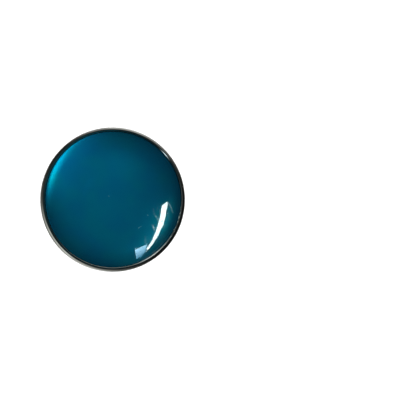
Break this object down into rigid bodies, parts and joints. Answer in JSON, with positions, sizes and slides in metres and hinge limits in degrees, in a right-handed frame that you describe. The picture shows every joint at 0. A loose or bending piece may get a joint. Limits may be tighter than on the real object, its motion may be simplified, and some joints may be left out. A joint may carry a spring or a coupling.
{
  "type": "clip-on earring",
  "caption": "Round clip-on earring: a domed teal glass stone in a thin dark metal bezel cup, with a one-piece sprung clip behind it that grips the ear lobe.",
  "frame": {"origin": "on the surface that the earring lies on, on the axis of the round stone", "axes": "+Z out through the stone's face, +Y up as worn, so the clip opens upwards; +X is to the right for someone who looks at the face"},
  "size_m": [0.0214, 0.0214, 0.0119],
  "materials": {
    "cup_metal": "dark silver plating, worn satin, brighter on its edges",
    "teal_enamel": "smooth enamel, seen through the glass",
    "teal_glass": "polished",
    "clip_metal": "satin silver plating"
  },
  "bodies": {
    "root": {"bezel_cup": "cup_metal", "colour_layer": "teal_enamel", "glass_stone": "teal_glass", "ear_clip": "clip_metal"}
  },
  "joints": []
}
